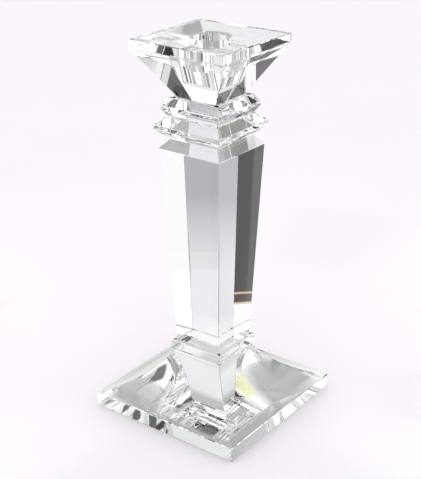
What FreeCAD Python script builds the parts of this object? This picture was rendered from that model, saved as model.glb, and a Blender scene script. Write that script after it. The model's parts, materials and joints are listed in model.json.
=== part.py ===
# Crystal candlestick: six square glass blocks ground to shape and stacked on one
# centre line, each bonded to the next with a thin film of clear adhesive.
# Millimetres, +Z up, origin at the centre of the foot's underside.

import FreeCAD, Part
import math
import os

# ---------------------------------------------------------------- driving dimensions
# The foot: a square slab whose top sweeps up in a hollow curve to a narrow neck.
FOOT_WIDTH = 104.0          # across the flats, at the rim
FOOT_RIM_HEIGHT = 9.0       # the upright edge all round
FOOT_HEIGHT = 36.0          # up to the neck's flat top
FOOT_LAND = 0.6             # the narrow flat between the rim and the hollow
NECK_WIDTH = 33.0           # across the flats, at the neck's top
NECK_ANGLE = 60.0           # how steep the hollow is where it meets the neck, degrees

# The plinth plate on the neck.
PLATE_WIDTH = 37.0
PLATE_THICKNESS = 6.2

# The column: a square shaft that widens upwards to a sloping shoulder, with a short
# upright seat on top of it.
SHAFT_HEIGHT = 124.1        # up to the widest line
SHOULDER_HEIGHT = 5.6       # from the widest line up to the seat
SEAT_HEIGHT = 1.3
COLUMN_FOOT_WIDTH = 31.8    # at the bottom
COLUMN_HEAD_WIDTH = 43.8    # at the widest line
SEAT_WIDTH = 33.2

# The two collars: square discs with a sloping face above and below an upright edge.
LOWER_COLLAR_WIDTH = 46.6   # across the upright edge
LOWER_COLLAR_HEIGHT = 11.5
LOWER_COLLAR_EDGE = 2.7     # height of the upright edge
LOWER_COLLAR_FACE = 36.6    # the flat faces above and below
UPPER_COLLAR_WIDTH = 40.2
UPPER_COLLAR_HEIGHT = 11.0
UPPER_COLLAR_EDGE = 2.5
UPPER_COLLAR_FACE = 34.4

# The candle cup: a spreading block with an upright edge and a blind candle bore.
CUP_WIDTH = 64.4            # across the upright edge
CUP_FOOT_WIDTH = 27.0       # the flat underneath
CUP_HEIGHT = 33.8
CUP_EDGE = 4.9              # height of the upright edge
BORE_DIAMETER = 23.0        # takes a standard 22 mm dinner candle
BORE_DEPTH = 21.0
BORE_CHAMFER = 0.5          # eased mouth of the bore

# Joints and edges.
ADHESIVE = 0.1              # thickness of every adhesive film
ADHESIVE_SETBACK = 0.4      # how far a film stops short of the smaller face it joins
ARRIS = 0.4                 # polished bevel along the edges of the foot, plate and cup rim


# ---------------------------------------------------------------- making one block
def vec(half_width, height):
    """A point of a profile: half the width across the flats, and the height."""
    return FreeCAD.Vector(half_width, 0, height)


def square_block(outline):
    """The block whose four sides all have this outline, with mitred corners.

    The outline runs up the right-hand side, from the underside to the top, as a list
    of edges. It is mirrored, closed and pushed through as a wall, and the wall is cut
    with the same wall turned a quarter turn.
    """
    right = Part.Wire(outline)
    low = right.OrderedVertexes[0].Point
    high = right.OrderedVertexes[-1].Point
    left = right.mirror(FreeCAD.Vector(0, 0, 0), FreeCAD.Vector(1, 0, 0))
    bottom = Part.makeLine(FreeCAD.Vector(-low.x, 0, low.z), low)
    top = Part.makeLine(high, FreeCAD.Vector(-high.x, 0, high.z))
    edges = Part.sortEdges([bottom, top] + right.Edges + left.Edges)[0]
    face = Part.Face(Part.Wire(edges))
    reach = 2 * max(v.Point.x for v in right.Vertexes)
    wall = face.extrude(FreeCAD.Vector(0, 2 * reach, 0))
    wall.translate(FreeCAD.Vector(0, -reach, 0))
    turned = wall.copy()
    turned.rotate(FreeCAD.Vector(0, 0, 0), FreeCAD.Vector(0, 0, 1), 90)
    return wall.common(turned).removeSplitter().Solids[0]


def straight(points):
    """Straight edges through a list of profile points."""
    return [Part.makeLine(a, b) for a, b in zip(points, points[1:])]


def adhesive_film(below, above, height):
    """The film between two flat faces of these widths, from this height up."""
    side = min(below, above) - 2 * ADHESIVE_SETBACK
    corner = FreeCAD.Vector(-side / 2, -side / 2, height)
    return Part.makeBox(side, side, ADHESIVE, corner)


# ---------------------------------------------------------------- the six glass blocks
def foot(bottom):
    """The foot, with its rim, the hollow sweep and the neck."""
    rim = FOOT_WIDTH / 2
    neck = NECK_WIDTH / 2
    rim_top = bottom + FOOT_RIM_HEIGHT
    top = bottom + FOOT_HEIGHT
    hollow_start = vec(rim - ARRIS - FOOT_LAND, rim_top)
    hollow_end = vec(neck, top)
    # An arc through both ends that arrives at the neck at NECK_ANGLE: its chord's
    # own slope and half of its turn add up to that angle.
    rise = hollow_end.z - hollow_start.z
    run = hollow_start.x - hollow_end.x
    chord = math.hypot(run, rise)
    half_turn = math.radians(NECK_ANGLE) - math.atan2(rise, run)
    sagitta = chord / 2 * math.tan(half_turn / 2)
    middle = (hollow_start + hollow_end) * 0.5
    middle = middle + FreeCAD.Vector(-rise, 0, -run) * (sagitta / chord)
    outline = straight([
        vec(rim - ARRIS, bottom),
        vec(rim, bottom + ARRIS),
        vec(rim, rim_top - ARRIS),
        vec(rim - ARRIS, rim_top),
        hollow_start,
    ])
    outline.append(Part.Arc(hollow_start, middle, hollow_end).toShape())
    return square_block(outline)


def plate(bottom):
    """The plinth plate: a plain square slab with eased edges."""
    half = PLATE_WIDTH / 2
    top = bottom + PLATE_THICKNESS
    return square_block(straight([
        vec(half - ARRIS, bottom),
        vec(half, bottom + ARRIS),
        vec(half, top - ARRIS),
        vec(half - ARRIS, top),
    ]))


def column(bottom):
    """The shaft, its shoulder and the seat on top."""
    shoulder = bottom + SHAFT_HEIGHT
    seat = shoulder + SHOULDER_HEIGHT
    return square_block(straight([
        vec(COLUMN_FOOT_WIDTH / 2, bottom),
        vec(COLUMN_HEAD_WIDTH / 2, shoulder),
        vec(SEAT_WIDTH / 2, seat),
        vec(SEAT_WIDTH / 2, seat + SEAT_HEIGHT),
    ]))


def collar(bottom, width, height, edge, face):
    """One collar, the same above and below its upright edge."""
    slope = (height - edge) / 2
    return square_block(straight([
        vec(face / 2, bottom),
        vec(width / 2, bottom + slope),
        vec(width / 2, bottom + slope + edge),
        vec(face / 2, bottom + height),
    ]))


def lower_collar(bottom):
    return collar(bottom, LOWER_COLLAR_WIDTH, LOWER_COLLAR_HEIGHT, LOWER_COLLAR_EDGE,
                  LOWER_COLLAR_FACE)


def upper_collar(bottom):
    return collar(bottom, UPPER_COLLAR_WIDTH, UPPER_COLLAR_HEIGHT, UPPER_COLLAR_EDGE,
                  UPPER_COLLAR_FACE)


def cup(bottom):
    """The candle cup, with the blind bore and its eased mouth."""
    half = CUP_WIDTH / 2
    top = bottom + CUP_HEIGHT
    block = square_block(straight([
        vec(CUP_FOOT_WIDTH / 2, bottom),
        vec(half, top - CUP_EDGE),
        vec(half, top - ARRIS),
        vec(half - ARRIS, top),
    ]))
    radius = BORE_DIAMETER / 2
    bore = Part.makeCylinder(radius, BORE_DEPTH, FreeCAD.Vector(0, 0, top - BORE_DEPTH))
    mouth = Part.makeCone(radius, radius + BORE_CHAMFER, BORE_CHAMFER,
                          FreeCAD.Vector(0, 0, top - BORE_CHAMFER))
    return block.cut(bore).cut(mouth)


# ---------------------------------------------------------------- the stack
def build():
    """Every piece by name, from the foot up, with a film between each two blocks."""
    # Each block: its name, how it is made, its height, and its lower and upper flats.
    eased_plate = PLATE_WIDTH - 2 * ARRIS
    blocks = [
        ("foot_block", foot, FOOT_HEIGHT, FOOT_WIDTH - 2 * ARRIS, NECK_WIDTH),
        ("plinth_plate", plate, PLATE_THICKNESS, eased_plate, eased_plate),
        ("column", column, SHAFT_HEIGHT + SHOULDER_HEIGHT + SEAT_HEIGHT, COLUMN_FOOT_WIDTH, SEAT_WIDTH),
        ("lower_collar", lower_collar, LOWER_COLLAR_HEIGHT, LOWER_COLLAR_FACE, LOWER_COLLAR_FACE),
        ("upper_collar", upper_collar, UPPER_COLLAR_HEIGHT, UPPER_COLLAR_FACE, UPPER_COLLAR_FACE),
        ("candle_cup", cup, CUP_HEIGHT, CUP_FOOT_WIDTH, CUP_WIDTH - 2 * ARRIS),
    ]
    pieces = {}
    level = 0.0
    below = None
    for name, make, height, lower_flat, upper_flat in blocks:
        if below is not None:
            film = "adhesive_" + below[0] + "_to_" + name
            pieces[film] = adhesive_film(below[1], lower_flat, level)
            level += ADHESIVE
        pieces[name] = make(level)
        level += height
        below = (name, upper_flat)
    return pieces


def main():
    os.makedirs("parts", exist_ok=True)
    for name, shape in build().items():
        shape.exportStep(os.path.join("parts", name + ".step"))
        box = shape.BoundBox
        print(f"{name}: {box.XLength:.2f} wide, z {box.ZMin:.2f} to {box.ZMax:.2f},"
              f" {shape.Volume / 1000:.2f} cm3, valid {shape.isValid()}")


main()
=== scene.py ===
# %% [markdown]
# # A stacked optical-glass candlestick
# Six square blocks of clear glass stand on one centre line, each bonded to the next
# with a film of clear adhesive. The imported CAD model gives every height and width.
# This notebook gives the blocks their polished edges, their optical contact and their
# glass, and lights them the way clear glass has to be lit: white all round, with a few
# dark cards that draw its edges.

# %% Load the frame
import bmesh
import bpy
import json
import math
from mathutils import Matrix, Vector


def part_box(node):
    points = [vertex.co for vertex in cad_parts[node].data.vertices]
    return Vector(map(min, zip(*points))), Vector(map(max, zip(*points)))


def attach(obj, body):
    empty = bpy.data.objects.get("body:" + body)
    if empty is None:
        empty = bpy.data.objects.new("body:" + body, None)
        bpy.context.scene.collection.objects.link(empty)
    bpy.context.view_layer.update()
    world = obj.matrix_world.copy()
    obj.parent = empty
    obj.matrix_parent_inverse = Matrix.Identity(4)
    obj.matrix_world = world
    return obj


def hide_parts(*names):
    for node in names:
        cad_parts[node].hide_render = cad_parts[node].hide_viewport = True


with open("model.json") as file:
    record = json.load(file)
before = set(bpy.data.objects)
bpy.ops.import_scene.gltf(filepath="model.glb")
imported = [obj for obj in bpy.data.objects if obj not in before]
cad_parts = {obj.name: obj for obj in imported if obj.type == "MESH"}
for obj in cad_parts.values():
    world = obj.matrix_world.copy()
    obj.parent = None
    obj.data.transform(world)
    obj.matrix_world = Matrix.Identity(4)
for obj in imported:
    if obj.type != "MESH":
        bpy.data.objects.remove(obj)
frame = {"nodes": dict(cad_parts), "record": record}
bpy.context.view_layer.update()
nodes = frame["nodes"]
print("blocks and films:", sorted(nodes))

# %% [markdown]
# ## The camera
# It looks down at one corner of the foot, a little to the left of it, from about the
# height of a person seated at a table. A long lens keeps the square blocks from
# flaring. The camera leans half a degree, and that lean is turned into its matrix
# rather than hidden in a lens shift, so that other views stay plain.

# %% Camera
scene = bpy.context.scene
eye = Vector((0.3555, -0.4682, 0.3673))
aim = Vector((-0.00092, -0.00070, 0.10772))
lean = math.radians(-0.572)

look = (aim - eye).normalized()
level = look.cross(Vector((0, 0, 1))).normalized()
upright = level.cross(look)
across = level * math.cos(lean) + upright * math.sin(lean)
upward = across.cross(look)
place = Matrix((across, upward, -look)).transposed().to_4x4()
place.translation = eye

lens = bpy.data.cameras.new("camera")
lens.sensor_fit = "HORIZONTAL"
lens.sensor_width = 36
lens.lens = 92.33
camera = bpy.data.objects.new("camera", lens)
camera.matrix_world = place
scene.collection.objects.link(camera)
scene.camera = camera
heading = math.atan2(look.x, look.y)
print("camera heading, degrees:", round(math.degrees(heading), 1))

# %% [markdown]
# ## Small helpers for node trees
# A node is made, set up and wired in one line, so that each finish below reads as a
# short list of what it does. A group's sockets are made through its interface.

# %% Node helpers
def wire(tree, socket, value):
    """Gives a socket a number or a colour, or links another socket to it."""
    if isinstance(value, bpy.types.NodeSocket):
        tree.links.new(value, socket)
    else:
        socket.default_value = value


def node(tree, kind, inputs, **settings):
    """A new node with its settings made and its inputs wired."""
    made = tree.nodes.new(kind)
    for name, value in settings.items():
        setattr(made, name, value)
    for name, value in inputs.items():
        wire(tree, made.inputs[name], value)
    return made


def sums(tree, operation, *values, clamp=False):
    """One step of arithmetic on numbers or sockets."""
    step = node(tree, "ShaderNodeMath", dict(enumerate(values)),
                operation=operation, use_clamp=clamp)
    return step.outputs[0]


def new_group(name, ins, outs):
    """A shader node group with named sockets. Returns the tree, its input and its output."""
    tree = bpy.data.node_groups.new(name, "ShaderNodeTree")
    for label, (kind, value) in ins.items():
        socket = tree.interface.new_socket(label, in_out="INPUT",
                                           socket_type="NodeSocket" + kind)
        socket.default_value = value
    for label, kind in outs.items():
        tree.interface.new_socket(label, in_out="OUTPUT", socket_type="NodeSocket" + kind)
    return tree, tree.nodes.new("NodeGroupInput"), tree.nodes.new("NodeGroupOutput")


def use_group(tree, group, **values):
    """Places a group in a tree with its own values; underscores stand for spaces."""
    placed = node(tree, "ShaderNodeGroup", {}, node_tree=group)
    for name, value in values.items():
        wire(tree, placed.inputs[name.replace("_", " ")], value)
    return placed


# %% [markdown]
# ## The studio: white all round, and dark cards
# Clear glass has no colour of its own. It shows whatever its faces send the eye to, so
# it is lit in a white tent with grey and black cards outside the view, and each card
# comes back as a crisp dark facet. Real cards could be modelled as planes, but then
# every one would also shade the floor. So a card here is a soft-edged patch of tone,
# given by its compass heading and, up in the tent, by its height in degrees. On the
# table it is given by how far out it lies. One group holds the card's mask, and each
# card is one use of it, laid over what was there before.

# %% One card
card, card_in, card_out = new_group(
    "card",
    {"Heading": ("Float", 0.0), "Reach": ("Float", 0.0),
     "Centre": ("Float", 0.0), "Half width": ("Float", 20.0), "Side edge": ("Float", 4.0),
     "From": ("Float", 0.0), "To": ("Float", 20.0), "End edge": ("Float", 4.0),
     "Behind": ("Color", (1, 1, 1, 1)), "Colour": ("Color", (0, 0, 0, 1))},
    {"Colour": "Color"})
field = card_in.outputs


def inside(away, half, edge):
    """1 within half of the middle, falling to 0 over the soft edge."""
    gap = sums(card, "SUBTRACT", half, sums(card, "ABSOLUTE", away))
    return sums(card, "ADD", sums(card, "DIVIDE", gap, edge), 0.5, clamp=True)


turned = sums(card, "SUBTRACT", field["Heading"], field["Centre"])
turned = sums(card, "WRAP", turned, 180.0, -180.0)
middle = sums(card, "MULTIPLY", sums(card, "ADD", field["From"], field["To"]), 0.5)
half = sums(card, "MULTIPLY", sums(card, "SUBTRACT", field["To"], field["From"]), 0.5)
sideways = inside(turned, field["Half width"], field["Side edge"])
lengthways = inside(sums(card, "SUBTRACT", field["Reach"], middle), half, field["End edge"])
covered = sums(card, "MULTIPLY", sideways, lengthways)
blend = node(card, "ShaderNodeMix", {"Factor": covered}, data_type="RGBA")
wire(card, blend.inputs["A"], field["Behind"])
wire(card, blend.inputs["B"], field["Colour"])
wire(card, card_out.inputs["Colour"], blend.outputs["Result"])


def lay_cards(tree, bearing, reach, base, cards):
    """Lays the cards one after another over the base tone. Returns the colour socket."""
    colour = node(tree, "ShaderNodeRGB", {}).outputs[0]
    colour.default_value = base
    for label, (centre, half_width, side, start, stop, end, tone) in cards.items():
        placed = use_group(tree, card, Heading=bearing, Reach=reach,
                           Centre=centre, Half_width=half_width, Side_edge=side,
                           From=start, To=stop, End_edge=end,
                           Behind=colour, Colour=(*tone, 1))
        placed.label = label
        colour = placed.outputs["Colour"]
    return colour


def compass(tree, along, across):
    """Degrees clockwise from the camera's own heading, for a direction or a place."""
    turn = sums(tree, "DEGREES", sums(tree, "ARCTAN2", along, across))
    return sums(tree, "SUBTRACT", turn, math.degrees(heading))


print("card sockets:", [s.name for s in card.interface.items_tree])

# %% [markdown]
# ## The tent
# The tent is the world. Its cards are given as centre, half width and side edge, then
# from, to and end edge, all in degrees, and a tone. Centre 0 is straight ahead of the
# camera, 90 to its right and 180 behind it. The camera's own view of the world stays an
# even pale lavender and the floor is lit evenly, so no card is seen but in the glass.

# %% Tent
TENT = (1.25, 1.25, 1.25, 1)
SEEN = (0.98, 0.94, 0.99, 1)
PAPER_LIGHT = (1.06, 1.06, 1.06, 1)
TENT_CARDS = {
    "grey back wall": (2, 46, 12, -15, 50, 10, (0.48, 0.48, 0.49)),
    "lighter middle of the back wall": (2, 10, 6, -14, 37, 5, (0.84, 0.84, 0.86)),
    "yellow lamp, back left": (-51, 7, 4, 14, 34, 5, (1.00, 0.99, 0.62)),
    "dim front of the room": (180, 45, 12, 0, 70, 12, (0.38, 0.38, 0.38)),
    "black card above the camera": (178, 14, 4, 33, 48, 4, (0.03, 0.03, 0.03)),
    "black card, high left": (-92, 16, 5, 66, 92, 5, (0.03, 0.03, 0.03)),
    "grey card, back left": (-38, 12, 6, 50, 64, 5, (0.18, 0.18, 0.18)),
    "dark strip, back right": (45, 7, 3, 1, 14, 3, (0.06, 0.06, 0.06)),
    "dark card, right": (66, 12, 5, 21, 68, 6, (0.12, 0.12, 0.11)),
    "black card, high right": (140, 32, 5, 51, 92, 5, (0.03, 0.03, 0.03)),
    "dark card, front right": (147, 11, 4, 6, 27, 4, (0.05, 0.05, 0.05)),
    "black card, front left": (-147, 15, 4, 5, 32, 4, (0.03, 0.03, 0.03)),
}

world = bpy.data.worlds.new("studio tent")
scene.world = world
world.use_nodes = True
tent = world.node_tree
tent.nodes.clear()
outward = tent.nodes.new("ShaderNodeTexCoord").outputs["Generated"]
way = node(tent, "ShaderNodeSeparateXYZ", {"Vector": outward})
rise = sums(tent, "DEGREES", sums(tent, "ARCSINE", way.outputs["Z"]))
bearing = compass(tent, way.outputs["X"], way.outputs["Y"])
tones = lay_cards(tent, bearing, rise, TENT, TENT_CARDS)
rays = node(tent, "ShaderNodeLightPath", {})
even = node(tent, "ShaderNodeMix", {"Factor": rays.outputs["Is Diffuse Ray"]}, data_type="RGBA")
wire(tent, even.inputs["A"], tones)
wire(tent, even.inputs["B"], PAPER_LIGHT)
seen = node(tent, "ShaderNodeMix", {"Factor": rays.outputs["Is Camera Ray"]}, data_type="RGBA")
wire(tent, seen.inputs["A"], even.outputs["Result"])
wire(tent, seen.inputs["B"], SEEN)
glow = node(tent, "ShaderNodeBackground", {"Color": seen.outputs["Result"], "Strength": 1.0})
node(tent, "ShaderNodeOutputWorld", {"Surface": glow.outputs["Background"]})
print("cards in the tent:", list(TENT_CARDS))

# %% [markdown]
# ## Cards on the table
# The faces of the column look down and out: they show the table, not the tent. Black
# card to the left, a grey run-out behind and bright paper to the right give the shaft
# its black, grey and white stripes. The cards are one sheet just above the floor. It
# glows by itself, and the camera, the floor and the shadows don't see it, only the glass.
# Here each card's from, to and end edge are in metres from the centre line.

# %% Sheets
SHEET_HALF_SIDE = 4.0


def lay_sheet(name, depth):
    """A square sheet this far below the foot's underside."""
    grid = bmesh.new()
    bmesh.ops.create_grid(grid, x_segments=1, y_segments=1, size=SHEET_HALF_SIDE,
                          matrix=Matrix.Translation((0, 0, -depth)))
    mesh = bpy.data.meshes.new(name)
    grid.to_mesh(mesh)
    grid.free()
    laid = bpy.data.objects.new(name, mesh)
    scene.collection.objects.link(laid)
    print(name, "lies", depth * 1000, "mm below the foot")
    return laid


# %% Table cards
TONES_DEPTH = 0.0001
TABLE = (1.08, 1.06, 1.09, 1)
TABLE_CARDS = {
    "pale paper behind": (0, 40, 16, 0.10, 5.0, 0.10, (0.88, 0.87, 0.92)),
    "grey run-out behind": (0, 40, 16, 0.34, 5.0, 0.20, (0.50, 0.50, 0.54)),
    "grey card, back right": (22, 9, 6, 0.21, 0.33, 0.03, (0.32, 0.32, 0.30)),
    "grey paper, right": (92, 14, 8, 0.10, 0.22, 0.04, (0.48, 0.48, 0.49)),
    "dim paper in front": (180, 48, 12, 0.06, 5.0, 0.04, (0.25, 0.25, 0.25)),
    "black card, left": (-82, 33, 5, 0.200, 1.1, 0.006, (0.004, 0.004, 0.004)),
    "wooden edge, left": (-101, 11, 3, 0.176, 0.208, 0.003, (0.80, 0.58, 0.36)),
    "brown shade, left": (-101, 12, 3, 0.181, 0.203, 0.003, (0.022, 0.014, 0.011)),
    "dark edge, far right": (95, 11, 4, 0.95, 5.0, 0.05, (0.08, 0.08, 0.08)),
    # Painted shade under the foot: the foot's shadow on the table as the glass sees it, lighter
    # under its back and deeper under its front.
    "shade under the foot": (0, 181, 1, -1.0, 0.060, 0.02, (0.66, 0.68, 0.66)),
    "lighter painted shade under its back": (-6, 12, 8, 0.034, 0.075, 0.01, (0.95, 0.96, 0.96)),
    "deeper shade under its front": (175, 75, 40, 0.02, 0.075, 0.02, (0.34, 0.37, 0.34)),
    # A painted contact shadow, black, under the back corner of the foot.
    "painted contact shadow under its back": (31, 6, 3, 0.036, 0.064, 0.004, (0.03, 0.03, 0.03)),
}
table_tones = lay_sheet("tones_on_the_table", TONES_DEPTH)
table_tones.visible_camera = False
table_tones.visible_diffuse = False
table_tones.visible_shadow = False
lit = bpy.data.materials.new("lit cards")
lit.use_nodes = True
tree = lit.node_tree
tree.nodes.clear()
where = tree.nodes.new("ShaderNodeTexCoord").outputs["Object"]
spot = node(tree, "ShaderNodeSeparateXYZ", {"Vector": where})
squares = [sums(tree, "POWER", spot.outputs[axis], 2.0) for axis in "XY"]
out_to = sums(tree, "SQRT", sums(tree, "ADD", *squares))
bearing = compass(tree, spot.outputs["X"], spot.outputs["Y"])
tones = lay_cards(tree, bearing, out_to, TABLE, TABLE_CARDS)
shine = node(tree, "ShaderNodeEmission", {"Color": tones, "Strength": 1.0})
node(tree, "ShaderNodeOutputMaterial", {"Surface": shine.outputs["Emission"]})
table_tones.data.materials.append(lit)
print("cards on the table:", list(TABLE_CARDS))

# %% [markdown]
# ## Light paths
# A ray crosses a dozen faces before it leaves a stack of glass like this one, so the
# limits on bounces are raised until no path ends early and turns black. Caustics stay
# on: they are what carries light through the foot to the table.

# %% Path settings
scene.view_settings.view_transform = "Standard"
scene.cycles.max_bounces = 32
scene.cycles.transmission_bounces = 32
scene.cycles.glossy_bounces = 24
scene.cycles.transparent_max_bounces = 64
scene.cycles.caustics_reflective = True
scene.cycles.caustics_refractive = True
scene.cycles.use_denoising = True
print("bounces through glass:", scene.cycles.transmission_bounces)

# %% [markdown]
# ## The floor
# A plain pale sheet, a little lighter or darker from place to place as paper is. It lies
# a hair below the foot, because glass and paper that share one plane are drawn as
# neither. It is only staging, so it is left out of the object.

# %% Floor
FLOOR_DEPTH = 0.0002
DARKER_PAPER = (0.93, 0.89, 0.94, 1)
LIGHTER_PAPER = (0.95, 0.91, 0.96, 1)
floor = lay_sheet("floor", FLOOR_DEPTH)
paper = bpy.data.materials.new("pale paper")
paper.use_nodes = True
tree = paper.node_tree
where = tree.nodes.new("ShaderNodeTexCoord").outputs["Object"]
grain = node(tree, "ShaderNodeTexNoise", {"Vector": where, "Scale": 9.0, "Detail": 3.0})
tone = node(tree, "ShaderNodeMix", {"Factor": grain.outputs["Fac"]}, data_type="RGBA")
wire(tree, tone.inputs["A"], DARKER_PAPER)
wire(tree, tone.inputs["B"], LIGHTER_PAPER)
matt = tree.nodes["Principled BSDF"]
wire(tree, matt.inputs["Base Color"], tone.outputs["Result"])
matt.inputs["Roughness"].default_value = 0.7
floor.data.materials.append(paper)
print("floor:", floor.dimensions[:2])

# %% [markdown]
# ## Handling marks
# Polished glass is never perfectly even. Fingers and cloths leave faint smears a
# centimetre or two across, the felt wheel leaves hair-fine lines along its travel, and
# a few specks of dust settle. None of them has a colour: they only soften the gloss and
# disturb the surface. One group makes them, for the glass and the bonded joints alike.

# %% Scattered spots
SPECK_RADIUS, SPECK_THRESHOLD, SPECK_HEIGHT = 0.06, 0.93, 4.0


def scattered(tree, vector, per_metre, radius, threshold):
    """1 inside round spots, in the few cells whose random number passes the threshold."""
    cells = node(tree, "ShaderNodeTexVoronoi", {"Vector": vector, "Scale": per_metre})
    chance = node(tree, "ShaderNodeSeparateColor", {"Color": cells.outputs["Color"]})
    chosen = sums(tree, "GREATER_THAN", chance.outputs[0], threshold)
    near = sums(tree, "LESS_THAN", cells.outputs["Distance"], radius)
    return sums(tree, "MULTIPLY", near, chosen)


print("cells in a hundred with a speck:", round((1 - SPECK_THRESHOLD) * 100))

# %% Handling marks
marks, marks_in, marks_out = new_group(
    "handling marks",
    {"Vector": ("Vector", (0, 0, 0)), "Smear size": ("Float", 0.016),
     "Gloss": ("Float", 0.0), "Smear": ("Float", 0.03), "Dust": ("Float", 0.4)},
    {"Roughness": "Float", "Height": "Float"})
place_on_glass = marks_in.outputs["Vector"]
per_metre = sums(marks, "DIVIDE", 1.0, marks_in.outputs["Smear size"])
smears = node(marks, "ShaderNodeTexNoise",
              {"Vector": place_on_glass, "Scale": per_metre, "Detail": 2.0,
               "Roughness": 0.55, "Distortion": 0.6})
smear = node(marks, "ShaderNodeMapRange",
             {"Value": smears.outputs["Fac"], "From Min": 0.56, "From Max": 0.78},
             interpolation_type="SMOOTHSTEP")
stretched = node(marks, "ShaderNodeMapping",
                 {"Vector": place_on_glass, "Rotation": (0.3, 0.2, 0.5),
                  "Scale": (60, 60, 1500)})
lines = node(marks, "ShaderNodeTexNoise",
             {"Vector": stretched.outputs["Vector"], "Scale": 1.0, "Detail": 1.0})
speck = scattered(marks, place_on_glass, 300.0, SPECK_RADIUS, SPECK_THRESHOLD)
worn = sums(marks, "MULTIPLY", smear.outputs["Result"], marks_in.outputs["Smear"])
worn = sums(marks, "MULTIPLY", worn, sums(marks, "ADD", 0.5, lines.outputs["Fac"]))
soft = sums(marks, "ADD", marks_in.outputs["Gloss"], worn)
dusty = sums(marks, "MULTIPLY", speck, marks_in.outputs["Dust"])
wire(marks, marks_out.inputs["Roughness"], sums(marks, "ADD", soft, dusty, clamp=True))
raised = sums(marks, "MULTIPLY", speck, SPECK_HEIGHT)
wire(marks, marks_out.inputs["Height"], sums(marks, "ADD", lines.outputs["Fac"], raised))
print("handling marks:", [s.name for s in marks.interface.items_tree])

# %% [markdown]
# ## Optical glass
# The blocks are colourless optical glass of the usual kind, index 1.52, with a breath
# of green through their thickness. The plain glass shader would do, but the principled
# one keeps its index and its clearness when the model is exported. Gloss and the bend
# of the light belong to the shader. Only the marks vary over the surface, in roughness
# and in a bump whose lines are a few ten-thousandths of a millimetre deep.

# %% Optical glass
LINE_DEPTH = 0.0000005
GREENER_GLASS = (0.975, 0.990, 0.976, 1)
CLEARER_GLASS = (0.990, 0.996, 0.990, 1)
glass = bpy.data.materials.new("optical glass")
glass.use_nodes = True
tree = glass.node_tree
body = tree.nodes["Principled BSDF"]
body.inputs["Transmission Weight"].default_value = 1.0
body.inputs["IOR"].default_value = 1.52
spot = tree.nodes.new("ShaderNodeTexCoord").outputs["Object"]
worn = use_group(tree, marks, Vector=spot,
                 Smear_size=0.016, Gloss=0.0, Smear=0.03, Dust=0.4)
wire(tree, body.inputs["Roughness"], worn.outputs["Roughness"])
ripple = node(tree, "ShaderNodeBump", {"Height": worn.outputs["Height"],
                                       "Strength": 0.3, "Distance": LINE_DEPTH})
wire(tree, body.inputs["Normal"], ripple.outputs["Normal"])
cast = node(tree, "ShaderNodeTexNoise", {"Vector": spot, "Scale": 25.0, "Detail": 1.0})
tint = node(tree, "ShaderNodeMix", {"Factor": cast.outputs["Fac"]}, data_type="RGBA")
wire(tree, tint.inputs["A"], GREENER_GLASS)
wire(tree, tint.inputs["B"], CLEARER_GLASS)
wire(tree, body.inputs["Base Color"], tint.outputs["Result"])
print("glass index:", body.inputs["IOR"].default_value)

# %% [markdown]
# ## The bonded joint
# Where a block meets its neighbour, the adhesive fills the gap and has almost the same
# index as glass, so light goes straight through as if the two were one. Two blocks could
# be merged into one to get that, but then no block could be taken off. A joint is made
# visible only by what is wrong with it: a faint haze and a few trapped bubbles. The
# finish is therefore almost wholly clear, and its Alpha carries the haze and bubbles.

# %% Bonded joint
MOST_HAZE = 0.02
BUBBLE_RADIUS, BUBBLE_THRESHOLD, BUBBLE_HAZE = 0.08, 0.9, 0.25
bond = bpy.data.materials.new("clear adhesive")
bond.use_nodes = True
tree = bond.node_tree
film = tree.nodes["Principled BSDF"]
spot = tree.nodes.new("ShaderNodeTexCoord").outputs["Object"]
worn = use_group(tree, marks, Vector=spot,
                 Smear_size=0.008, Gloss=0.15, Smear=0.2, Dust=0.2)
wire(tree, film.inputs["Roughness"], worn.outputs["Roughness"])
hazy = node(tree, "ShaderNodeTexNoise", {"Vector": spot, "Scale": 160.0, "Detail": 3.0})
haze = node(tree, "ShaderNodeMapRange", {"Value": hazy.outputs["Fac"], "From Min": 0.5,
                                         "From Max": 0.9, "To Max": MOST_HAZE})
bubble = scattered(tree, spot, 380.0, BUBBLE_RADIUS, BUBBLE_THRESHOLD)
milky = sums(tree, "MULTIPLY", bubble, BUBBLE_HAZE)
wire(tree, film.inputs["Alpha"],
     sums(tree, "ADD", haze.outputs["Result"], milky, clamp=True))
print("adhesive haze up to:", haze.inputs["To Max"].default_value)

# %% [markdown]
# ## Reading a block's outline from the frame
# Every block is square in plan at every height, so its corner line says all about it:
# half a width at each height. The line is read from the CAD block's own corners, lowest
# first, and the modelling below can't drift from it.

# %% Outline of a block
ON_THE_DIAGONAL = 1e-5


def corner_line(name, beyond=0.0):
    """(half width, height) of a CAD block at each level, lowest first."""
    found = set()
    for vertex in nodes[name].data.vertices:
        x, y, z = vertex.co
        if x > beyond and y > beyond and abs(x - y) < ON_THE_DIAGONAL:
            found.add((round(z, 6), -round(x, 6)))
    return [(-half, height) for height, half in sorted(found)]


for name in ("plinth_plate", "column", "lower_collar", "upper_collar"):
    print(name, [(round(h * 1000, 2), round(z * 1000, 2)) for h, z in corner_line(name)])

# %% [markdown]
# ## Grinding a block
# A square face is laid at the lowest level, then extruded and scaled from level to
# level, as the block is ground face by face. Edges are then broken with a narrow
# polished bevel, because a sharp glass edge chips and because the bevel is the bright
# hairline the eye reads as an edge. The flat that is bonded gets an inset the size of
# the adhesive film, and that inner face takes the bonded finish.

# %% Grinding
def climb(work, face, was, half, rise):
    """Extrudes the face upwards by rise and scales it from half a width to the next."""
    grown = bmesh.ops.extrude_face_region(work, geom=[face])["geom"]
    points = [part for part in grown if isinstance(part, bmesh.types.BMVert)]
    top = [part for part in grown if isinstance(part, bmesh.types.BMFace)][0]
    bmesh.ops.scale(work, verts=points, vec=(half / was, half / was, 1))
    bmesh.ops.translate(work, verts=points, vec=(0, 0, rise))
    return top


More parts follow.
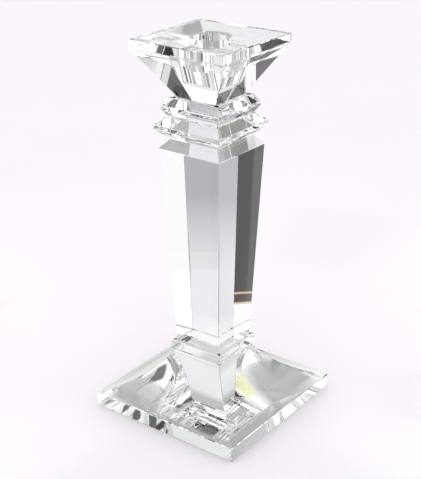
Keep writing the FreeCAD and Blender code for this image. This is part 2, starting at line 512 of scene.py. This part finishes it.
def grind(levels):
    """A closed block that follows the corner line, as a bmesh."""
    work = bmesh.new()
    start = Matrix.Translation((0, 0, levels[0][1]))
    bmesh.ops.create_grid(work, x_segments=1, y_segments=1, size=levels[0][0],
                          matrix=start)
    lid = underside = work.faces[:][0]
    for (was, low), (half, high) in zip(levels, levels[1:]):
        passed, lid = lid, climb(work, lid, was, half, high - low)
        if passed is not underside:
            bmesh.ops.delete(work, geom=[passed], context="FACES_ONLY")
    bmesh.ops.recalc_face_normals(work, faces=work.faces)
    return work


trial = grind([(0.01, 0.0), (0.01, 0.02)])
print("a cube made by the same steps has", len(trial.faces), "faces")
trial.free()

# %% Polishing and bonding
SHARP = math.radians(12)
CREASE = math.radians(11)
LEVEL_WITH = 1e-6


def polish_edges(work, width, keep):
    """Bevels every sharp edge for which keep(edge) is true."""
    sharp = [e for e in work.edges if e.calc_face_angle(0) > SHARP and keep(e)]
    bmesh.ops.bevel(work, geom=sharp, offset=width, offset_type="OFFSET", segments=1,
                    profile=0.5, affect="EDGES", material=-1)
    return len(sharp)


def edge_slope(edge):
    """How upright an edge is: 0 for level, 1 for straight up."""
    run = edge.verts[1].co - edge.verts[0].co
    return abs(run.z) / run.length


def mark_bond(work, film_name, height):
    """Insets the flat at this height to the film's size and gives the inner face the bond."""
    low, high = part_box(film_name)
    reach = (high.x - low.x) / 2
    flats = [f for f in work.faces if abs(f.normal.z) > 0.999
             and abs(f.calc_center_median().z - height) < LEVEL_WITH]
    flat = max(flats, key=lambda f: f.calc_area())
    side = max(v.co.x for v in flat.verts)
    bmesh.ops.inset_region(work, faces=[flat], thickness=side - reach,
                           use_even_offset=True)
    flat.material_index = 1


print("edges are polished where faces turn by more than", round(math.degrees(SHARP)), "degrees")


# %% Finishing a block
def finish_block(work, name):
    """Turns the work into a piece that stands for the CAD block of this name."""
    closed = all(e.is_manifold for e in work.edges)
    mesh = bpy.data.meshes.new(name + "_glass")
    work.to_mesh(mesh)
    work.free()
    mesh.shade_smooth()
    mesh.set_sharp_from_angle(angle=CREASE)
    mesh.materials.append(glass)
    mesh.materials.append(bond)
    piece = bpy.data.objects.new(name + "_glass", mesh)
    scene.collection.objects.link(piece)
    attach(piece, "root")
    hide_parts(name)
    print(piece.name, len(mesh.polygons), "faces, closed:", closed)


# %% [markdown]
# ## The foot
# A heavy square slab whose top sweeps up in a hollow curve to the neck. The curve is
# ground against a wheel, so it is one smooth arc on each side and the four arcs meet in
# crisp ridges. A subdivision surface would smooth the arc, but it would round the ridges
# too. So the CAD arc is divided again here, finely enough that light bent through it
# shows no steps.

# %% The hollow's arc
def arc_through(a, b, c, steps):
    """Points on the circle through three points, from just after a to c."""
    (ax, ay), (bx, by), (cx, cy) = a, b, c
    d = 2 * (ax * (by - cy) + bx * (cy - ay) + cx * (ay - by))
    aa, bb, cc = ax**2 + ay**2, bx**2 + by**2, cx**2 + cy**2
    ux = (aa * (by - cy) + bb * (cy - ay) + cc * (ay - by)) / d
    uy = (aa * (cx - bx) + bb * (ax - cx) + cc * (bx - ax)) / d
    radius = math.hypot(ax - ux, ay - uy)
    first, last = math.atan2(ay - uy, ax - ux), math.atan2(cy - uy, cx - ux)
    sweep = (last - first + math.pi) % (2 * math.pi) - math.pi
    turns = [first + sweep * i / steps for i in range(1, steps + 1)]
    return [(ux + radius * math.cos(t), uy + radius * math.sin(t)) for t in turns]


quarter = arc_through((1.0, 0.0), (math.sqrt(0.5), math.sqrt(0.5)), (0.0, 1.0), 2)
print("a quarter circle in two steps:", [(round(x, 3), round(y, 3)) for x, y in quarter])

# %% Foot
RIM_TOP, RIM_FACE = 0.0089, 0.05159
HOLLOW_STARTS = (0.051, 0.009)
ARC_STEPS = 48
BLOCK_BEVEL = 0.00025
line = corner_line("foot_block")
rim = [(half, height) for half, height in line if height < RIM_TOP or half > RIM_FACE]
start = min(line, key=lambda p: abs(p[0] - HOLLOW_STARTS[0]) + abs(p[1] - HOLLOW_STARTS[1]))
end = line[-1]
halfway = (sum(start) + sum(end)) / 2
middle = min(line, key=lambda p: abs(sum(p) - halfway))
levels = rim + [start] + arc_through(start, middle, end, ARC_STEPS)


def climbs_off_the_table(edge):
    """True for the ridges and the rim's corners, above the eased underside."""
    return edge_slope(edge) > 0.05 and min(v.co.z for v in edge.verts) > 0.0003


work = grind(levels)
broken = polish_edges(work, BLOCK_BEVEL, climbs_off_the_table)
mark_bond(work, "adhesive_foot_block_to_plinth_plate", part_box("foot_block")[1].z)
finish_block(work, "foot_block")
print("foot levels:", len(levels), "edges broken:", broken)

# %% [markdown]
# ## The plinth plate
# A plain square slab that spreads the column's load on the neck. A cube and a bevel
# would make it, but the same steps as for the other blocks keep its levels tied to the
# CAD. Its long edges are eased there; the four upright corners are broken here.

# %% Plinth plate
work = grind(corner_line("plinth_plate"))
polish_edges(work, BLOCK_BEVEL, lambda e: edge_slope(e) > 0.5)
mark_bond(work, "adhesive_foot_block_to_plinth_plate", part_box("plinth_plate")[0].z)
mark_bond(work, "adhesive_plinth_plate_to_column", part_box("plinth_plate")[1].z)
finish_block(work, "plinth_plate")

# %% [markdown]
# ## The column
# A square shaft that widens upwards to a sloping shoulder. A four-sided cone would give
# the shaft alone, while extruding from level to level gives the shoulder and the seat in
# the same pass. The four long edges and the shoulder line are polished; the ends are left
# crisp so that the bonded faces stay full size.

# %% Column
COLUMN_BEVEL = 0.0003
foot_of_column, head_of_column = (corner.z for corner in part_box("column"))


def clear_of_ends(edge):
    """True unless the edge lies in the block's lower or upper flat."""
    return not any(all(abs(v.co.z - flat) < LEVEL_WITH for v in edge.verts)
                   for flat in (foot_of_column, head_of_column))


work = grind(corner_line("column"))
print("column edges broken:", polish_edges(work, COLUMN_BEVEL, clear_of_ends))
mark_bond(work, "adhesive_plinth_plate_to_column", foot_of_column)
mark_bond(work, "adhesive_column_to_lower_collar", head_of_column)
finish_block(work, "column")

# %% [markdown]
# ## The two collars
# Square discs with a slope above and below an upright edge. Spinning an outline would
# make a round disc, so these are extruded level by level too. The same steps make both,
# because they differ only in size.

# %% Collars
COLLAR_BEVEL = 0.0002
CLEAR_OF_FLATS = 0.001


def collar(name, below, above):
    """One collar with its corners and edge lines polished and both flats bonded."""
    low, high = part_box(name)
    first, last = low.z + CLEAR_OF_FLATS, high.z - CLEAR_OF_FLATS
    work = grind(corner_line(name))
    polish_edges(work, COLLAR_BEVEL,
                 lambda e: edge_slope(e) > 0.3 or first < e.verts[0].co.z < last)
    mark_bond(work, below, low.z)
    mark_bond(work, above, high.z)
    finish_block(work, name)


collar("lower_collar", "adhesive_column_to_lower_collar",
       "adhesive_lower_collar_to_upper_collar")
collar("upper_collar", "adhesive_lower_collar_to_upper_collar",
       "adhesive_upper_collar_to_candle_cup")

# %% [markdown]
# ## The candle cup
# A spreading block with an upright edge and a bored hole for the candle. The hole's
# size comes from the imported record's mount, and it is centred on the block's top. A
# Boolean cut would make it, but it leaves slivers that show as streaks in clear glass. So
# a ring is bridged to the square top, its mouth is eased with a narrow cone, and it is
# extruded down to its floor.

# %% Cup block
UPRIGHT_EDGE_ENDS = (0.0047, 0.0067)
bore = next(m for m in frame["record"]["mounts"] if m["name"] == "candle_bore")
radius = bore["dims"]["r_mm"] / 1000
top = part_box("candle_cup")[1].z


def corner_or_edge_line(edge):
    """True for the sloping corners and the line where the upright edge ends."""
    nearest, furthest = UPRIGHT_EDGE_ENDS
    return edge_slope(edge) > 0.3 or nearest < top - edge.verts[0].co.z < furthest


work = grind(corner_line("candle_cup", beyond=radius))
print("cup edges broken:", polish_edges(work, BLOCK_BEVEL, corner_or_edge_line))

# %% Candle bore
MOUTH_EASE = 0.0005
FLOOR_EASE = 0.0008
ROUND = 96
depth = bore["dims"]["length_mm"] / 1000 + MOUTH_EASE
lid = max((f for f in work.faces if f.normal.z > 0.999),
          key=lambda f: f.calc_center_median().z)
outer = list(lid.edges)
bmesh.ops.delete(work, geom=[lid], context="FACES_ONLY")
ring = bmesh.ops.create_circle(work, cap_ends=False, segments=ROUND,
                               radius=radius + MOUTH_EASE,
                               matrix=Matrix.Translation((0, 0, top)))["verts"]
mouth = [e for e in work.edges if e.verts[0] in ring and e.verts[1] in ring]
bmesh.ops.bridge_loops(work, edges=outer + mouth)
cone = (radius / (radius + MOUTH_EASE), MOUTH_EASE)
wall = (1.0, depth - MOUTH_EASE - FLOOR_EASE)
corner = (1 - FLOOR_EASE / radius, FLOOR_EASE)
for shrink, drop in (cone, wall, corner):
    grown = bmesh.ops.extrude_edge_only(work, edges=mouth)["geom"]
    ring = [part for part in grown if isinstance(part, bmesh.types.BMVert)]
    mouth = [part for part in grown if isinstance(part, bmesh.types.BMEdge)]
    bmesh.ops.scale(work, verts=ring, vec=(shrink, shrink, 1))
    bmesh.ops.translate(work, verts=ring, vec=(0, 0, -drop))
bmesh.ops.edgeloop_fill(work, edges=mouth)
bmesh.ops.recalc_face_normals(work, faces=work.faces)
mark_bond(work, "adhesive_upper_collar_to_candle_cup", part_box("candle_cup")[0].z)
finish_block(work, "candle_cup")
print("bore radius and depth, mm:", radius * 1000, depth * 1000)

# %% [markdown]
# ## The adhesive films
# The five films keep their CAD shape: a tenth of a millimetre thick, a little smaller
# than the faces they join. Modelling them again would add nothing, so they only get the
# bonded finish.

# %% Films
films = sorted(name for name in nodes if name.startswith("adhesive_"))
for name in films:
    mesh = nodes[name].data
    mesh.materials.clear()
    mesh.materials.append(bond)
print("films finished:", len(films))

# %% Update the scene
bpy.context.view_layer.update()
